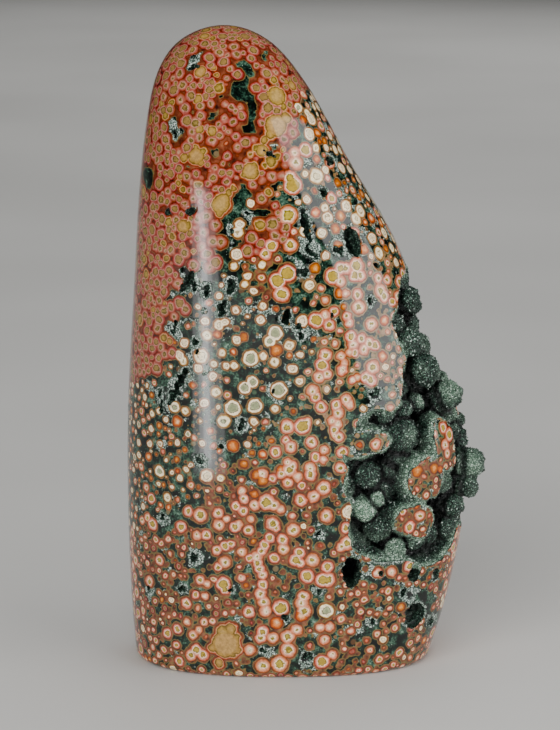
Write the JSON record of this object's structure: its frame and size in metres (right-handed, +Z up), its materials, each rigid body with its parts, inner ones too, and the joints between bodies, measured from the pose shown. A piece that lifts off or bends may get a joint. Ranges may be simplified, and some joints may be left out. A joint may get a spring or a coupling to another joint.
{
  "type": "ocean jasper",
  "caption": "Tall polished free-form stone with round orb markings, a domed top, a flat sawn base and an open pocket of green botryoidal crystals down one side; stands on a shelf.",
  "frame": {"origin": "middle of the bottom of the bounding box, on the plane of the sawn base", "axes": "+Z up along the stone's height, -Y out of the pictured face, +X towards the open crystal pocket"},
  "size_m": [0.0674, 0.0392, 0.12],
  "materials": {
    "polished_jasper": "polished stone, smooth and glossy: pink and cream orbs on rust red and dark green",
    "green_druse": "natural dark green botryoidal chalcedony dusted with fine glittering crystals"
  },
  "bodies": {
    "root": {"polished_stone": "polished_jasper", "druse_crust": "green_druse"}
  },
  "joints": []
}
